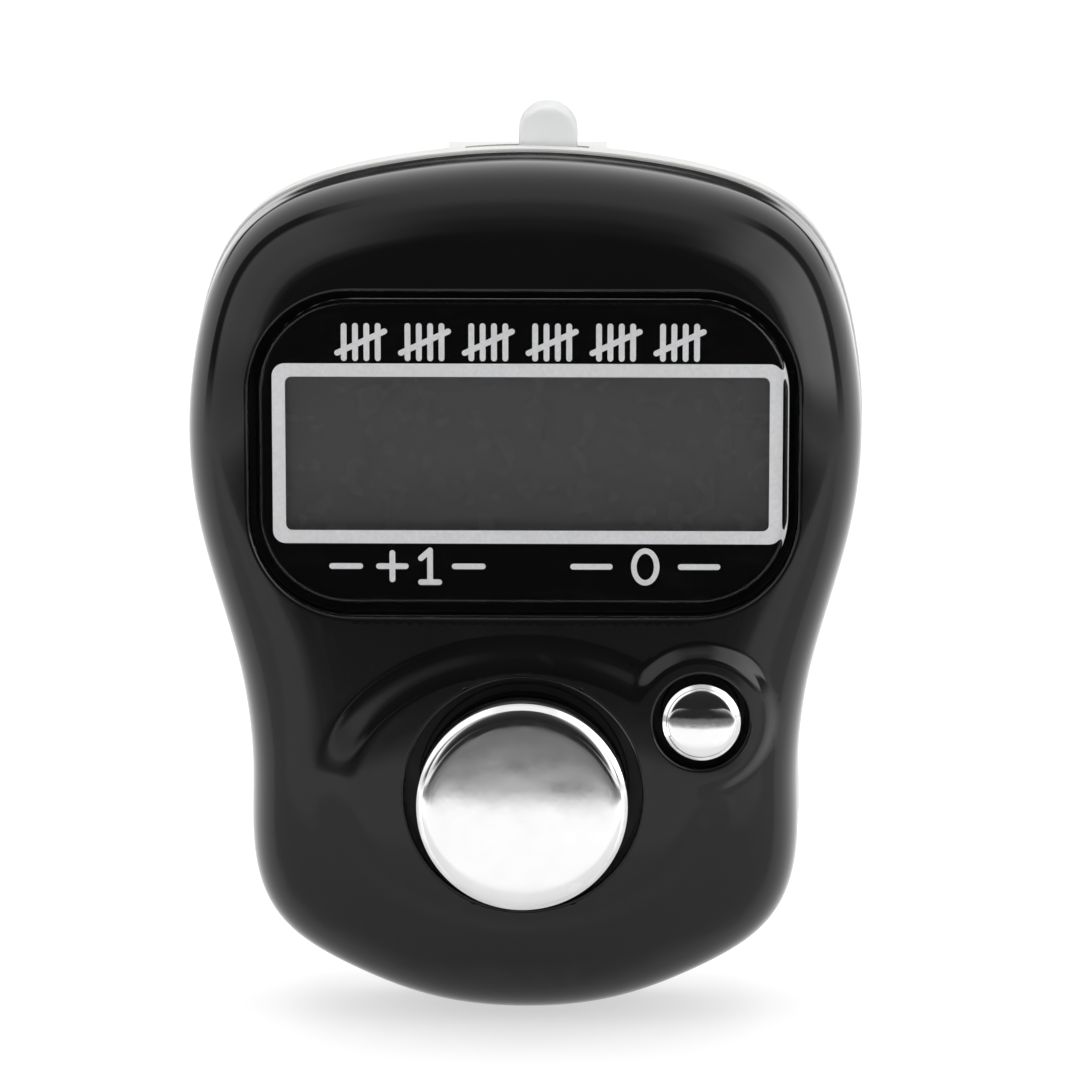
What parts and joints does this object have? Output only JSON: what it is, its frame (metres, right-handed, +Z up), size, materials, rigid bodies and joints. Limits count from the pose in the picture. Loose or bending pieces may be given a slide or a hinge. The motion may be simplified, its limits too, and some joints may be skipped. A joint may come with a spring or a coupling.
{
  "type": "electronic finger tally counter",
  "caption": "Finger-worn electronic counter: glossy pebble case with a display, a large count button, a small reset button, a hinged cell door and an adjustable strap.",
  "frame": {"origin": "centre of the finger loop, midway between the case's ends and 10 mm behind its flat back", "axes": "+X along the finger, to the right as the display is read; +Z up the display; the face looks along -Y, so +Y points from the case to the finger"},
  "size_m": [0.032, 0.037, 0.0432],
  "materials": {
    "black_gloss": "glossy black moulded plastic",
    "white_plastic": "satin white moulded plastic",
    "lens_clear": "clear acrylic, printed black from behind",
    "chrome": "bright chrome plate",
    "strap_clear": "translucent white silicone",
    "dark_plastic": "matte black moulded plastic",
    "display_glass": "polished display glass",
    "reflector": "grey reflective film",
    "tape": "double-sided tape",
    "zebra_rubber": "layered conductive rubber",
    "dome_rubber": "matte silicone rubber",
    "carbon": "carbon-filled rubber",
    "board_green": "green solder mask",
    "epoxy": "black potting epoxy",
    "steel": "nickel-plated steel",
    "contact_metal": "plated spring metal"
  },
  "bodies": {
    "case": {"front_shell": "black_gloss", "rear_shell": "white_plastic", "display_lens": "lens_clear", "lens_adhesive": "tape", "lcd_front_glass": "display_glass", "lcd_rear_glass": "display_glass", "lcd_reflector": "reflector", "lcd_frame": "dark_plastic", "zebra_strip": "zebra_rubber", "circuit_board": "board_green", "chip_glob_top": "epoxy", "board_screw_left": "steel", "board_screw_right": "steel", "board_screw_top": "steel", "count_dome": "dome_rubber", "reset_dome": "dome_rubber", "battery_cell": "steel", "battery_negative_contact": "contact_metal", "battery_positive_contact": "contact_metal", "case_screw_1": "steel", "case_screw_2": "steel", "case_screw_3": "steel", "case_screw_4": "steel", "strap_band": "strap_clear"},
    "count_key": {"count_button": "chrome", "count_contact_pill": "carbon"},
    "reset_key": {"reset_button": "chrome", "reset_contact_pill": "carbon"},
    "door": {"battery_door": "white_plastic", "battery_door_screw": "steel"},
    "tail": {"strap_tail": "strap_clear"}
  },
  "joints": [
    {"name": "count_press", "type": "slide", "parent": "case", "child": "count_key", "axis": [0, 1, 0], "range_m": [0, 0.0012], "stiffness_N_per_m": 600, "deforming": ["count_dome"]},
    {"name": "reset_press", "type": "slide", "parent": "case", "child": "reset_key", "axis": [0, 1, 0], "range_m": [0, 0.0007], "stiffness_N_per_m": 600, "deforming": ["reset_dome"]},
    {"name": "door_swing", "type": "hinge", "parent": "case", "child": "door", "pos_m": [0, -0.01, 0.01155], "axis": [1, 0, 0], "range_deg": [0, 60]},
    {"name": "strap_pull", "type": "slide", "parent": "case", "child": "tail", "axis": [0, -0.4194, 0.9078], "range_m": [0, 0.006], "deforming": ["strap_band"]}
  ]
}
